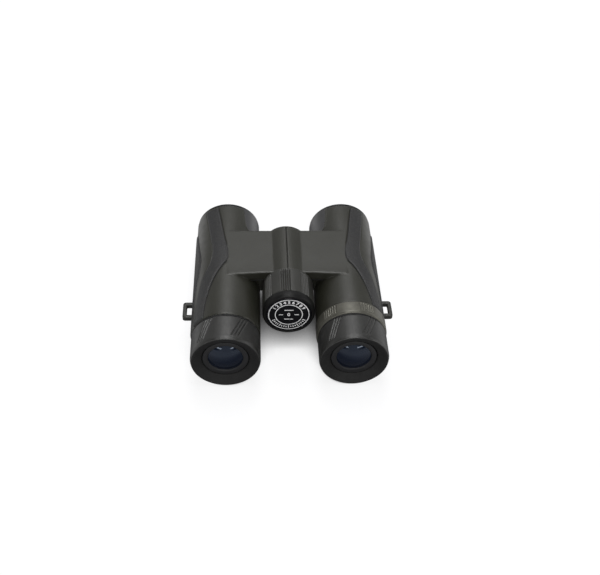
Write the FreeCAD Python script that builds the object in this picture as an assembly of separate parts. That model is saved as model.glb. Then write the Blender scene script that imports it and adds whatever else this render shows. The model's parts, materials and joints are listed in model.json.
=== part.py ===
import FreeCAD, Part
import math
import os

# Compact roof-prism binoculars, in millimetres.
# Frame: +X to the user's right, +Y from the eyepieces to the objectives, +Z up.
# The origin is on the table under the middle of the object, which lies opened flat.
# Angles about the hinge are seen from the eyepieces: 0 is +X, 90 is +Z.
# Angles of the pads' edges are from a barrel's top towards its outer side.
# Every barrel piece is built for the right barrel, and mirrored for the left one.

# ---- barrels --------------------------------------------------------------------------------
OPTIC_X = 36.5            # half of the distance between the two optical axes
BODY_HALF_LENGTH = 59.5   # from the middle to the eyecup rims and to the objective rims
PAD_R = 20.6              # raised grip pads and dioptre ring
ARMOUR_R = 20.0           # smooth rubber armour, and eyecups
BARE_R = 19.9             # bare metal panel beside each objective, flush with the armour
CHASSIS_R = 19.2          # outside of the metal barrel tube
BORE_R = 17.7             # inside of the metal barrel tube
SLIDE_R = 17.62           # lens cells that slide in the tube
SKIN = ARMOUR_R - CHASSIS_R
BARREL_Z = PAD_R          # the pads touch the table
CHASSIS_REAR_Y = -40.5
CHASSIS_FRONT_Y = 58.3
ARMOUR_FRONT_Y = CHASSIS_FRONT_Y
ARMOUR_REAR_Y = {"left": -40.3, "right": -31.3}

BARE_REAR_Y = 38.0        # where the bare panel begins
BARE_EDGE_X = (-12.0, -8.8)  # its edge on top, from the axis, at its rear and front ends
BARE_HEIGHT = 34.0
BARE_CORNER = 3.0
BARE_GROOVE = 0.3         # groove between the bare panel and the armour

LUG_Y = (-25.4, -12.6)
LUG_Z = (BARREL_Z - 1.3, BARREL_Z + 2.1)
LUG_REACH = OPTIC_X + 25.9
LUG_BAR = 2.4
LUG_CORNER = 1.6

# (degrees, y) along the edges of the pads; the rear ends are added for each barrel
GRIP_INNER = [(17.5, 56.5), (11, 42), (3.5, 25), (-3.5, 12), (-2, 5.6), (8, 0), (26.5, -15), (36, -28)]
GRIP_OUTER = [(44, 56.5), (31, 28), (25.5, 14), (29, 6), (45, -5.5), (56, -18), (62, -28)]
LOWER_EDGE = [(75, 45), (62, 28), (53, 13), (57, 2), (68, -10), (78, -22)]
REAR_ANGLES = {"left": (40.0, 66.0, 84.0), "right": (37.5, 64.0, 82.0)}
PAD_END_GAP = 0.6         # smooth armour left behind the pads
LOWER_PAD_UNDER = 7.0     # how far the lower pad reaches past the axis under the barrel

# ---- bridge and hinge -----------------------------------------------------------------------
BRIDGE_REAR_Y = -6.4
BRIDGE_FRONT_Y = 32.6
BRIDGE_TIP_Y = -8.0       # where the bridge's rear edge runs out on the barrel's top
BRIDGE_BOTTOM_Z = 21.2
BRIDGE_PLATE = 6.0        # height of the overhanging top plate
BRIDGE_UNDERCUT = 4.4     # how far the web under the plate stands back

HINGE_Z = BARREL_Z + 8.8  # the hinge is higher than the optical axes
SHAFT_R = 5.0
JOURNAL_R = 5.3            # thicker front end of the shaft, round the tripod insert
JOURNAL_REAR_Y = 24.1
SHAFT_BORE_R = 3.3
SHAFT_Y = (-24.0, 33.4)
RUNNING = 0.06            # radial clearance of a running fit
PLAY = 0.1                # clearance of a loose fit
WALL = 1.0                # least wall that is left between two bores
KNUCKLE_R = 12.1
KNUCKLE_ARM = 45.0        # half of the angle over which a knuckle joins its half sleeve
KNUCKLES = {"left": [(-5.5, 4.0), (24.2, 31.5)], "right": [(4.2, 12.0)]}
SLEEVE_IN_R = 12.4
SLEEVE_MID_R = 13.2       # metal half sleeve below this, rubber above
SLEEVE_OUT_R = 14.0
SLEEVE_SPAN = (-59.5, 89.0)  # right half sleeve
COVER_R = (12.2, 11.3)
COVER_Y = (12.0, 24.0)
COVER_SPANS = [(20.0, 170.0), (-114.0, -20.0)]  # clear of both focusing arms at any fold
INSERT_R = 4.0
SOCKET_R = 2.59           # minor radius of the 1/4-20 tripod thread
SOCKET_Y = (25.0, 33.4)
CAP_Y = (31.8, 32.9, 33.7, 34.5)
CAP_R = SLEEVE_OUT_R - 0.4
CAP_SCREW_R = 4.4         # clearance hole for a tripod screw
CAP_SPIGOT_R = 7.5
CAP_BEVEL = 0.8
CAP_GAP = 0.2             # between the shaft's end and the cap

# ---- focusing -------------------------------------------------------------------------------
FOCUS_Y = 18.0            # middle of the focusing travel
FOCUS_TRAVEL = 2.5
ARM_WIDTH = 3.0
ARM_CLEARANCE = 0.4
SPOOL_R = 9.0
SPOOL_GROOVE_R = 6.5
SPOOL_FLANGE = 1.5
SCREW_R = 1.8
SCREW_HEAD_R = 3.4
SCREW_HEAD = 1.6          # height of the screw's head
SCREW_END = 2.5           # how far the screw runs past the nut's last place
PIN_R = 0.8
PIN_LENGTH = 4.2
PIN_GAP = 0.3             # between a pin and the screw, and beyond its travel in its slot
NUT_HALF = 3.0

KNOB_R = 15.3
KNOB_FRONT_Y = -6.8
KNOB_SEAM_Y = -26.0       # rubber ring in front, smooth band behind
KNOB_EDGE_Y = -29.2       # where the band rounds off
KNOB_REAR_Y = -30.8
KNOB_ROUNDING = [(0.3, 0.5), (0.9, 0.0)]  # how far inside the band, and in front of its rear end
KNOB_SET_BACK = 0.4       # core's front edge, and the hub's step, behind what they face
KNOB_CHAMFER = 0.5
CAP_SET_BACK = 0.2        # dial plate's face, behind the knob's rear edge
KNOB_FACE_R = 13.4
KNOB_CORE_R = 13.8
KNOB_HOLLOW_R = (8.0, 11.8)
KNOB_WEB_Y = (-29.2, -22.5)
HUB_FRONT_Y = -9.0
GRIP_GROUPS = 8
GRIP_GROOVES = 5
GRIP_PITCH = 4.8          # degrees
GRIP_FIRST = 98.6         # angle of the middle of the first group
GRIP_GROOVE_R = 0.4

# ---- optics ---------------------------------------------------------------------------------
OBJECTIVE_R = 17.0
OBJECTIVE_RIM_Y = 52.2    # front rim of the objective lens
OBJECTIVE_STOP_R = 16.3
OBJECTIVE_SEAT = 0.7      # from the lens rim to the screwed ring
OBJECTIVE_RIM_R = 19.7
OBJECTIVE_LIP = 0.5
OBJECTIVE_FUNNEL = 4.0    # depth of the rim's conical inner wall
OBJECTIVE_BACK_Y = 45.4
CROWN_EDGE = 3.6
FLINT_EDGE = 3.2
CROWN_BULGE = (-1.6, 1.9)  # of its rear and its front face
LENS_LEDGE = 0.8
O_RING_R = 0.3

FOCUS_LENS_R = 13.5
FOCUS_CELL_HALF = 3.0
FOCUS_LENS_HALF = 1.8
FOCUS_LENS_HOLLOW = 0.7

PRISM_FRONT_Y = -5.5
PRISM_HALF = 7.0          # half of the prisms' clear aperture
PRISM_LOW = 12.0          # how far the two prisms reach below the axis
PRISM_GAP = 0.3
PRISM_LEG = 24.0
PRISM_WALL = 1.5
PRISM_TILT = 22.5         # degrees, of the first prism's mirror

FIELD_CELL_Y = (-37.6, -30.6)
FIELD_LENS_R = 11.5
FIELD_LENS_FACES = ((-35.6, -0.9), (-32.6, 0.9))  # y at the edge and bulge, of each face

# ---- eyepieces ------------------------------------------------------------------------------
EYECUP_FRONT_Y = -41.7
EYE_OPENING_R = 13.5
EYE_OPENING_DEPTH = 3.0
EYECUP_RIM = [(17.6, 0.5), (18.4, 0.0), (19.2, 0.0), (19.8, 0.5), (ARMOUR_R, 1.4)]  # radius, set-back
EYECUP_EDGE = 0.3
EYECUP_STEP_SLOPE = 0.6
EYECUP_WALL_R = 17.7
EYECUP_STEP_Y = -53.3     # rear of the hard sleeve
NOSE_R = 13.0
NOSE_Y = (-56.5, -53.6)
EYEPIECE_R = 15.0
EYEPIECE_FLANGE_R = CHASSIS_R + 0.4
EYEPIECE_FLANGE_Y = -41.3
EYEPIECE_SPIGOT_Y = -39.0
CIRCLIP_Y = (-52.9, -52.2)
CIRCLIP_DEPTH = 0.7
CIRCLIP_PROUD = 1.0
CIRCLIP_SPAN = (-255, 75)
EYE_LENS_R = 11.0
EYE_WINDOW_R = 10.0
EYE_LENS_Y = -55.9
EYE_LENS_EDGE = 3.9
EYE_LENS_BULGE = 1.6
EYE_WINDOW_EDGE = 0.9
DOUBLET_FACES = ((-47.5, -1.8), (-42.5, 1.2))
GUIDE_R = 16.3
GUIDE_Y = (-52.1, -41.4)
KEY_WIDTH = 1.6
KEY_CLEARANCE = 0.15
KEY_Y = (-44.2, -42.5)
KEY_ANGLE = 30
KEYS = 3
SLOT_END = 0.8            # wall that closes a slot of the guide
KEY_GAP = 0.3             # between a key and the eyepiece tube
KEY_ROOT = 0.2            # depth of a key's root in the sleeve

DIOPTRE_Y = (-40.4, -31.6)
DIOPTRE_CHAMFER = 0.4
DIOPTRE_PIN_Y = -34.2
DIOPTRE_PIN_R = 1.0
DIOPTRE_TRAVEL = 1.2
DIOPTRE_SWING = 50.0      # degrees each way
DIOPTRE_SLOT_SWING = 55.0
DIOPTRE_GAP = 0.2         # beside the pin in its slot and groove
DIOPTRE_PIN_ENDS = (0.6, 0.8)  # below the cell's surface, and below the ring's

V = FreeCAD.Vector
ALONG_Y = V(0, 1, 0)
HINGE = (0.0, HINGE_Z)
BARREL = (OPTIC_X, BARREL_Z)


# ---- shapes ---------------------------------------------------------------------------------
def rod(centre, radius, y0, y1):
    """Round bar along Y; centre is its (x, z)."""
    return Part.makeCylinder(radius, y1 - y0, V(centre[0], y0, centre[1]), ALONG_Y)


def tube(centre, outer, inner, y0, y1):
    """Round tube along Y."""
    return rod(centre, outer, y0, y1).cut(rod(centre, inner, y0, y1))


def turned(centre, outline):
    """Turned piece about an axis along Y; the outline is a closed list of (radius, y)."""
    corners = [V(centre[0] + radius, y, centre[1]) for radius, y in outline]
    face = Part.Face(Part.makePolygon(corners + corners[:1]))
    return face.revolve(V(centre[0], 0, centre[1]), ALONG_Y, 360)


def block(x0, x1, y0, y1, z0, z1):
    """Box between two corners."""
    return Part.makeBox(x1 - x0, y1 - y0, z1 - z0, V(x0, y0, z0))


def prism(corners, along):
    """Solid whose section is a polygon, drawn out along a vector."""
    return Part.Face(Part.makePolygon(corners + corners[:1])).extrude(along)


def polar(centre, radius, degrees, y):
    """Point at an angle about an axis along Y."""
    angle = math.radians(degrees)
    return V(centre[0] + radius * math.cos(angle), y, centre[1] + radius * math.sin(angle))


def sector(centre, outer, inner, y0, y1, start, end):
    """Part of a tube along Y, between two angles."""
    middle = (start + end) / 2
    points = {(r, a): polar(centre, r, a, y0) for r in (outer, inner) for a in (start, middle, end)}
    edges = [
        Part.Arc(points[outer, start], points[outer, middle], points[outer, end]).toShape(),
        Part.makeLine(points[outer, end], points[inner, end]),
        Part.Arc(points[inner, end], points[inner, middle], points[inner, start]).toShape(),
        Part.makeLine(points[inner, start], points[outer, start]),
    ]
    return Part.Face(Part.Wire(edges)).extrude(V(0, y1 - y0, 0))


def lens_edge(centre, radius, y_rim, bulge):
    """Edge from the optical axis to the rim; its middle stands out by the bulge along Y."""
    middle = V(centre[0], y_rim + bulge, centre[1])
    rim = V(centre[0] + radius, y_rim, centre[1])
    if bulge == 0:
        return Part.makeLine(middle, rim)
    ball = (radius ** 2 + bulge ** 2) / (2 * abs(bulge))
    sag = ball - math.sqrt(ball ** 2 - (radius / 2) ** 2)
    halfway = V(centre[0] + radius / 2, middle.y - math.copysign(sag, bulge), centre[1])
    return Part.Arc(middle, halfway, rim).toShape()


def lens(centre, radius, low, high):
    """Lens along Y; low and high are (y at the rim, bulge) of its two faces."""
    first = lens_edge(centre, radius, *low)
    second = lens_edge(centre, radius, *high)
    ends = [edge.Vertexes[0].Point for edge in (first, second)]
    rims = [edge.Vertexes[-1].Point for edge in (first, second)]
    edges = [first, Part.makeLine(*rims), second, Part.makeLine(*ends)]
    face = Part.Face(Part.Wire(Part.__sortEdges__(edges)))
    return face.revolve(V(centre[0], 0, centre[1]), ALONG_Y, 360)


def smooth_outline(first, second):
    """Closed wire of two smooth curves joined by straight ends; both run the same way."""
    curves = []
    for points in (first, second):
        curve = Part.BSplineCurve()
        curve.interpolate([V(*point) for point in points])
        curves.append(curve.toShape())
    starts = [V(*points[0]) for points in (first, second)]
    ends = [V(*points[-1]) for points in (first, second)]
    edges = [curves[0], Part.makeLine(*ends), curves[1], Part.makeLine(*starts)]
    return Part.Wire(Part.__sortEdges__(edges))


def on_side(shape, side):
    """A piece built for the right barrel, mirrored if it belongs to the left one."""
    if side == "right":
        return shape
    return shape.mirror(V(0, 0, 0), V(1, 0, 0))


def save(name, shape):
    """Write one sub-part, and say what it is."""
    if not shape.isValid():
        raise ValueError(f"{name} is not a valid shape")
    shape.exportStep(os.path.join("parts", f"{name}.step"))
    print(f"{name}: {len(shape.Solids)} solid, {shape.Volume:.0f} mm3")


# ---- barrel shells --------------------------------------------------------------------------
def bridge_block(skin, hinge_r):
    """Bridge from the hinge to the barrel, drawn in by skin; below its plate it stands back."""
    top = BARREL_Z + ARMOUR_R - skin
    under = top - BRIDGE_PLATE
    bottom = BRIDGE_BOTTOM_Z + skin
    rear = BRIDGE_REAR_Y + skin
    front = BRIDGE_FRONT_Y - skin
    inner_x = SLEEVE_IN_R / 2
    corners = [
        V(inner_x, rear, under),
        V(SLEEVE_OUT_R, rear, under),
        V(OPTIC_X, BRIDGE_TIP_Y + skin, under),
        V(OPTIC_X, front, under),
        V(inner_x, front, under),
    ]
    plate = prism(corners, V(0, 0, BRIDGE_PLATE))
    web = block(inner_x, OPTIC_X, rear + BRIDGE_UNDERCUT, front - BRIDGE_UNDERCUT, bottom, under)
    return plate.fuse(web).cut(rod(HINGE, hinge_r, BRIDGE_TIP_Y, BRIDGE_FRONT_Y))


def strap_lug():
    """Loop on the outer side of the barrel; the strap passes through it along Z."""
    root = OPTIC_X + BORE_R - LUG_BAR
    loop = block(root, LUG_REACH, *LUG_Y, *LUG_Z)
    far_edges = [e for e in loop.Edges if e.BoundBox.ZLength > 1 and e.CenterOfMass.x > LUG_REACH - 1]
    loop = loop.makeFillet(LUG_CORNER, far_edges)
    slot = block(root, LUG_REACH - LUG_BAR, LUG_Y[0] + LUG_BAR, LUG_Y[1] - LUG_BAR, *LUG_Z)
    return loop.cut(slot).cut(rod(BARREL, CHASSIS_R, *LUG_Y))


def bare_space(margin):
    """Space of the bare panel on the barrel's inner side, near the objective, drawn in by a margin."""
    rear = BARE_REAR_Y + margin
    front = ARMOUR_FRONT_Y + 1
    inner_x = OPTIC_X - PAD_R
    rear_x, front_x = [OPTIC_X + x - margin for x in BARE_EDGE_X]
    half = BARE_HEIGHT / 2 - margin
    bottom = BARREL_Z - half
    corners = [
        V(inner_x, rear, bottom),
        V(rear_x, rear, bottom),
        V(front_x, front, bottom),
        V(inner_x, front, bottom),
    ]
    space = prism(corners, V(0, 0, 2 * half))
    across = [e for e in space.Edges if e.BoundBox.ZLength < 1 and e.CenterOfMass.y < rear + 1]
    upright = [e for e in space.Edges if e.BoundBox.ZLength > 1 and abs(e.CenterOfMass.x - rear_x) < 1]
    return space.makeFillet(BARE_CORNER, across + upright)


def chassis(side):
    """Metal tube with its half of the bridge, half sleeve, hinge knuckles and bare panel."""
    body = rod(BARREL, CHASSIS_R, CHASSIS_REAR_Y, CHASSIS_FRONT_Y)
    body = body.fuse(bridge_block(SKIN, SLEEVE_IN_R))
    sleeve_y = (BRIDGE_REAR_Y + SKIN, BRIDGE_FRONT_Y - SKIN)
    body = body.fuse(sector(HINGE, SLEEVE_MID_R, SLEEVE_IN_R, *sleeve_y, *SLEEVE_SPAN))
    panel = rod(BARREL, BARE_R, BARE_REAR_Y, CHASSIS_FRONT_Y).common(bare_space(BARE_GROOVE))
    body = body.fuse(panel)
    for y0, y1 in KNUCKLES[side]:
        body = body.fuse(rod(HINGE, KNUCKLE_R, y0, y1))
        arm = sector(HINGE, SLEEVE_MID_R - SKIN / 2, SHAFT_R, y0, y1, -KNUCKLE_ARM, KNUCKLE_ARM)
        body = body.fuse(arm)
    body = body.cut(rod(BARREL, BORE_R, CHASSIS_REAR_Y, CHASSIS_FRONT_Y))
    half_slot = ARM_WIDTH / 2 + ARM_CLEARANCE
    slot = block(SHAFT_R, OPTIC_X - BORE_R / 2, FOCUS_Y - FOCUS_TRAVEL - half_slot,
                 FOCUS_Y + FOCUS_TRAVEL + half_slot, HINGE_Z - half_slot, HINGE_Z + half_slot)
    body = body.cut(slot)
    if side == "right":
        return body.cut(rod(HINGE, SHAFT_R, *SHAFT_Y)).cut(dioptre_slot())
    body = body.cut(rod(HINGE, SHAFT_R + RUNNING, *SHAFT_Y))
    return body.cut(rod(HINGE, JOURNAL_R + RUNNING, JOURNAL_REAR_Y, SHAFT_Y[1]))


def armour(rear_y):
    """Rubber skin over the barrel, the bridge and the half sleeve."""
    skin = rod(BARREL, ARMOUR_R, rear_y, ARMOUR_FRONT_Y)
    skin = skin.fuse(bridge_block(0, SLEEVE_MID_R))
    sleeve = sector(HINGE, SLEEVE_OUT_R, SLEEVE_MID_R, BRIDGE_REAR_Y, BRIDGE_FRONT_Y, *SLEEVE_SPAN)
    skin = skin.fuse(sleeve)
    skin = skin.cut(rod(BARREL, CHASSIS_R, rear_y, ARMOUR_FRONT_Y))
    skin = skin.cut(bridge_block(SKIN, SHAFT_R))
    return skin.cut(bare_space(0)).cut(strap_lug())


def grip_pad(side):
    """Raised pad on the upper outer side, with a waist beside the bridge."""
    rear_y = ARMOUR_REAR_Y[side]
    edges = []
    for line, rear_angle in zip((GRIP_INNER, GRIP_OUTER), REAR_ANGLES[side]):
        edges.append([(OPTIC_X + PAD_R * math.sin(math.radians(angle)), y, BARREL_Z)
                      for angle, y in line + [(rear_angle, rear_y + PAD_END_GAP)]])
    reach = Part.Face(smooth_outline(*edges)).extrude(V(0, 0, PAD_R + 1))
    return tube(BARREL, PAD_R, ARMOUR_R, rear_y, ARMOUR_FRONT_Y).common(reach)


def lower_pad(side):
    """Raised pad on the lower outer side and under the barrel, which the object stands on."""
    rear_y = ARMOUR_REAR_Y[side]
    side_x = OPTIC_X + PAD_R + 1
    line = LOWER_EDGE + [(REAR_ANGLES[side][2], rear_y + PAD_END_GAP)]
    high = [(side_x, y, BARREL_Z + PAD_R * math.cos(math.radians(angle))) for angle, y in line]
    low = [(side_x, y, -1.0) for angle, y in line]
    reach = Part.Face(smooth_outline(high, low)).extrude(V(OPTIC_X - LOWER_PAD_UNDER - side_x, 0, 0))
    pad = tube(BARREL, PAD_R, ARMOUR_R, rear_y, ARMOUR_FRONT_Y).common(reach)
    return pad.cut(strap_lug())


# ---- optics in the barrel -------------------------------------------------------------------
def objective_ring():
    """Rim that screws into the tube and holds the objective lens."""
    seat = OBJECTIVE_RIM_Y + OBJECTIVE_SEAT
    lip = OBJECTIVE_LIP
    outline = [
        (OBJECTIVE_STOP_R, seat),
        (BORE_R, seat),
        (BORE_R, CHASSIS_FRONT_Y),
        (OBJECTIVE_RIM_R, CHASSIS_FRONT_Y),
        (OBJECTIVE_RIM_R, BODY_HALF_LENGTH - lip),
        (OBJECTIVE_RIM_R - lip, BODY_HALF_LENGTH),
        (OBJECTIVE_RIM_R - 3 * lip, BODY_HALF_LENGTH),
        (OBJECTIVE_STOP_R, BODY_HALF_LENGTH - OBJECTIVE_FUNNEL),
    ]
    return turned(BARREL, outline)


def objective_lenses():
    """Crown lens in front, flint lens cemented behind it."""
    joint = (OBJECTIVE_RIM_Y - CROWN_EDGE, CROWN_BULGE[0])
    crown = lens(BARREL, OBJECTIVE_R, joint, (OBJECTIVE_RIM_Y, CROWN_BULGE[1]))
    flint = lens(BARREL, OBJECTIVE_R, (joint[0] - FLINT_EDGE, 0), joint)
    return {"objective_crown_lens": crown, "objective_flint_lens": flint}


def objective_cell():
    """Ring that centres the two objective lenses in the tube."""
    ledge = LENS_LEDGE
    outline = [
        (OBJECTIVE_R - ledge, OBJECTIVE_BACK_Y - ledge),
        (BORE_R, OBJECTIVE_BACK_Y - ledge),
        (BORE_R, OBJECTIVE_RIM_Y),
        (OBJECTIVE_R, OBJECTIVE_RIM_Y),
        (OBJECTIVE_R, OBJECTIVE_BACK_Y),
        (OBJECTIVE_R - ledge, OBJECTIVE_BACK_Y),
    ]
    return turned(BARREL, outline)


def objective_o_ring():
    """Seal between the lens rim and the screwed ring."""
    at = V(BARREL[0], OBJECTIVE_RIM_Y + OBJECTIVE_SEAT - O_RING_R, BARREL[1])
    return Part.makeTorus(OBJECTIVE_R - O_RING_R, O_RING_R, at, ALONG_Y)


def focus_cell():
    """Sliding ring for the focusing lens, with the arm that reaches the carriage's groove."""
    ends = (FOCUS_Y - FOCUS_CELL_HALF, FOCUS_Y + FOCUS_CELL_HALF)
    ring = tube(BARREL, SLIDE_R, FOCUS_LENS_R, *ends)
    half = ARM_WIDTH / 2
    tip = SPOOL_GROOVE_R + ARM_CLEARANCE
    arm = block(tip, OPTIC_X - FOCUS_LENS_R + 1, FOCUS_Y - half, FOCUS_Y + half, HINGE_Z - half, HINGE_Z + half)
    return ring.fuse(arm).cut(rod(BARREL, FOCUS_LENS_R, *ends))


def focus_lens():
    """Concave lens that moves to focus."""
    rear = (FOCUS_Y - FOCUS_LENS_HALF, FOCUS_LENS_HOLLOW)
    return lens(BARREL, FOCUS_LENS_R, rear, (FOCUS_Y + FOCUS_LENS_HALF, -FOCUS_LENS_HOLLOW))


def prism_profile(corners):
    """Prism with a flat section in the YZ plane, across the barrel's middle."""
    points = [V(OPTIC_X - PRISM_HALF, y, BARREL_Z + z) for y, z in corners]
    return prism(points, V(2 * PRISM_HALF, 0, 0))


def half_penta_prism():
    """First prism: entrance face across the axis, 45 degree gap face, 22.5 degree mirror."""
    run = (PRISM_LOW - PRISM_HALF) / math.tan(math.radians(PRISM_TILT))
    corners = [
        (PRISM_FRONT_Y, PRISM_HALF),
        (PRISM_FRONT_Y, -PRISM_HALF),
        (PRISM_FRONT_Y - run, -PRISM_LOW),
        (PRISM_FRONT_Y - PRISM_HALF - PRISM_LOW, -PRISM_LOW),
    ]
    return prism_profile(corners)


def roof_prism():
    """Second prism: 45 degrees between its two legs, and a 90 degree roof on its base."""
    apex_y = PRISM_FRONT_Y - PRISM_HALF - PRISM_LOW - PRISM_GAP
    lean = PRISM_LEG * math.sqrt(0.5)
    ridge = [(apex_y + lean, lean - PRISM_LOW), (apex_y, PRISM_LEG - PRISM_LOW)]
    body = prism_profile([(apex_y, -PRISM_LOW)] + ridge)
    start = V(OPTIC_X, ridge[0][0], BARREL_Z + ridge[0][1])
    along = V(0, ridge[1][0] - ridge[0][0], ridge[1][1] - ridge[0][1])
    inward = along.cross(V(1, 0, 0)).normalize()
    if inward.z > 0:
        inward = inward * -1
    deep = 2 * PRISM_LEG
    corners = [start, start + (inward + V(1, 0, 0)) * deep, start + (inward - V(1, 0, 0)) * deep]
    roof = prism(corners, along * 3)
    roof.translate(along * -1)
    return body.common(roof)


def prism_cage():
    """Round frame open above and below, whose cheeks hold the two prisms."""
    front = PRISM_FRONT_Y + PRISM_WALL
    rear = PRISM_FRONT_Y - PRISM_HALF - PRISM_LOW - PRISM_GAP - PRISM_WALL
    frame = rod(BARREL, BORE_R, rear, front)
    pocket = block(OPTIC_X - PRISM_HALF, OPTIC_X + PRISM_HALF, rear + PRISM_WALL, front - PRISM_WALL,
                   BARREL_Z - BORE_R, BARREL_Z + BORE_R)
    return frame.cut(pocket).cut(rod(BARREL, PRISM_HALF, rear, front))


# ---- eyepieces ------------------------------------------------------------------------------
def field_lens_cell(side):
    """Cell of the field lens; the right one slides, moved by the dioptre ring's pin."""
    if side == "left":
        return tube(BARREL, BORE_R, FIELD_LENS_R, *FIELD_CELL_Y)
    cell = tube(BARREL, SLIDE_R, FIELD_LENS_R, *FIELD_CELL_Y)
    groove = DIOPTRE_PIN_R + DIOPTRE_TRAVEL + DIOPTRE_GAP
    floor = SLIDE_R - DIOPTRE_PIN_R
    return cell.cut(tube(BARREL, BORE_R, floor, DIOPTRE_PIN_Y - groove, DIOPTRE_PIN_Y + groove))


def field_lens():
    """Positive lens next to the prisms."""
    return lens(BARREL, FIELD_LENS_R, *FIELD_LENS_FACES)


def eyepiece_tube():
    """Fixed tube of the eyepiece: flange, barrel for the eyecup's guide, and nose."""
    outline = [
        (EYE_WINDOW_R, NOSE_Y[0]),
        (NOSE_R, NOSE_Y[0]),
        (NOSE_R, NOSE_Y[1]),
        (EYEPIECE_R, NOSE_Y[1]),
        (EYEPIECE_R, CIRCLIP_Y[0]),
        (EYEPIECE_R - CIRCLIP_DEPTH, CIRCLIP_Y[0]),
        (EYEPIECE_R - CIRCLIP_DEPTH, CIRCLIP_Y[1]),
        (EYEPIECE_R, CIRCLIP_Y[1]),
        (EYEPIECE_R, EYEPIECE_FLANGE_Y),
        (EYEPIECE_FLANGE_R, EYEPIECE_FLANGE_Y),
        (EYEPIECE_FLANGE_R, CHASSIS_REAR_Y),
        (BORE_R, CHASSIS_REAR_Y),
        (BORE_R, EYEPIECE_SPIGOT_Y),
        (EYE_LENS_R, EYEPIECE_SPIGOT_Y),
        (EYE_LENS_R, EYE_LENS_Y),
        (EYE_WINDOW_R, EYE_LENS_Y),
    ]
    return turned(BARREL, outline)


def eyepiece_lenses():
    """Eye lens, which the user looks into, and the lens pair behind it."""
    eye = lens(BARREL, EYE_LENS_R, (EYE_LENS_Y, 0), (EYE_LENS_Y + EYE_LENS_EDGE, EYE_LENS_BULGE))
    dome = lens(BARREL, EYE_WINDOW_R - PLAY, (EYE_LENS_Y, -EYE_LENS_BULGE), (EYE_LENS_Y + EYE_WINDOW_EDGE, 0))
    pair = lens(BARREL, EYE_LENS_R, *DOUBLET_FACES)
    return {"eye_lens": eye.fuse(dome).removeSplitter(), "eyepiece_doublet": pair}


def eyecup_circlip():
    """Split spring ring that keeps the guide on the eyepiece tube."""
    return sector(BARREL, EYEPIECE_R + CIRCLIP_PROUD, EYEPIECE_R - CIRCLIP_DEPTH + PLAY, CIRCLIP_Y[0] + PLAY,
                  CIRCLIP_Y[1] - PLAY, *CIRCLIP_SPAN)


def radial_keys(width, y0, y1, inner, outer):
    """Radial blocks, evenly spaced about the barrel's axis."""
    blocks = []
    for turn in range(KEYS):
        key = block(OPTIC_X + inner, OPTIC_X + outer, y0, y1, BARREL_Z - width / 2, BARREL_Z + width / 2)
        key.rotate(V(OPTIC_X, 0, BARREL_Z), ALONG_Y, KEY_ANGLE + turn * 360 / KEYS)
        blocks.append(key)
    return blocks


def eyecup_guide():
    """Turning sleeve with three straight slots for the eyecup's keys."""
    sleeve = tube(BARREL, GUIDE_R, EYEPIECE_R + PLAY, *GUIDE_Y)
    width = KEY_WIDTH + 2 * KEY_CLEARANCE
    slots = radial_keys(width, GUIDE_Y[0] + SLOT_END, GUIDE_Y[1] - SLOT_END, EYEPIECE_R - 1, GUIDE_R + 1)
    return sleeve.cut(Part.makeCompound(slots))


def eyecup_sleeve():
    """Hard sleeve inside the eyecup, with three keys that run in the guide's slots."""
    bore = GUIDE_R + PLAY
    sleeve = tube(BARREL, EYECUP_WALL_R, bore, EYECUP_STEP_Y, EYECUP_FRONT_Y - 2 * PLAY)
    return sleeve.fuse(radial_keys(KEY_WIDTH, *KEY_Y, EYEPIECE_R + KEY_GAP, bore + KEY_ROOT))


def eyecup_rubber():
    """Soft eyecup: rounded rim, sloping face and skirt."""
    rim = -BODY_HALF_LENGTH
    outline = [
        (EYE_OPENING_R, rim + EYE_OPENING_DEPTH),
        *[(radius, rim + set_back) for radius, set_back in EYECUP_RIM],
        (ARMOUR_R, EYECUP_FRONT_Y - EYECUP_EDGE),
        (ARMOUR_R - EYECUP_EDGE, EYECUP_FRONT_Y),
        (EYECUP_WALL_R, EYECUP_FRONT_Y),
        (EYECUP_WALL_R, EYECUP_STEP_Y),
        (EYE_OPENING_R, EYECUP_STEP_Y - EYECUP_STEP_SLOPE),
    ]
    return turned(BARREL, outline)


def dioptre_ring():
    """Turning ring on the right barrel, with the pin that reaches the field lens cell."""
    low, high = DIOPTRE_Y
    bore = CHASSIS_R + RUNNING
    ring = turned(BARREL, [
        (bore, low),
        (PAD_R - DIOPTRE_CHAMFER, low),
        (PAD_R, low + DIOPTRE_CHAMFER),
        (PAD_R, high - DIOPTRE_CHAMFER),
        (PAD_R - DIOPTRE_CHAMFER, high),
        (bore, high),
    ])
    deep, high_end = DIOPTRE_PIN_ENDS
    foot = PAD_R - high_end
    reach = foot - (SLIDE_R - deep)
    pin = Part.makeCylinder(DIOPTRE_PIN_R, reach, V(OPTIC_X, DIOPTRE_PIN_Y, BARREL_Z - foot), V(0, 0, 1))
    return ring.fuse(pin)


def dioptre_slot():
    """Slot in the right tube for the dioptre pin."""
    half = DIOPTRE_PIN_R + DIOPTRE_GAP
    return sector(BARREL, CHASSIS_R + 1, BORE_R - 1, DIOPTRE_PIN_Y - half, DIOPTRE_PIN_Y + half,
                  -90 - DIOPTRE_SLOT_SWING, -90 + DIOPTRE_SLOT_SWING)


# ---- hinge and focusing ---------------------------------------------------------------------
def drive_pins():
    """Two pins that carry the nut's movement through the shaft's slots to the carriage."""
    pins = []
    for way in (1, -1):
        foot = V(0, FOCUS_Y, HINGE_Z + way * (SCREW_R + PIN_GAP))
        pins.append(Part.makeCylinder(PIN_R, PIN_LENGTH, foot, V(0, 0, way)))
    return Part.makeCompound(pins)


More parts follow.
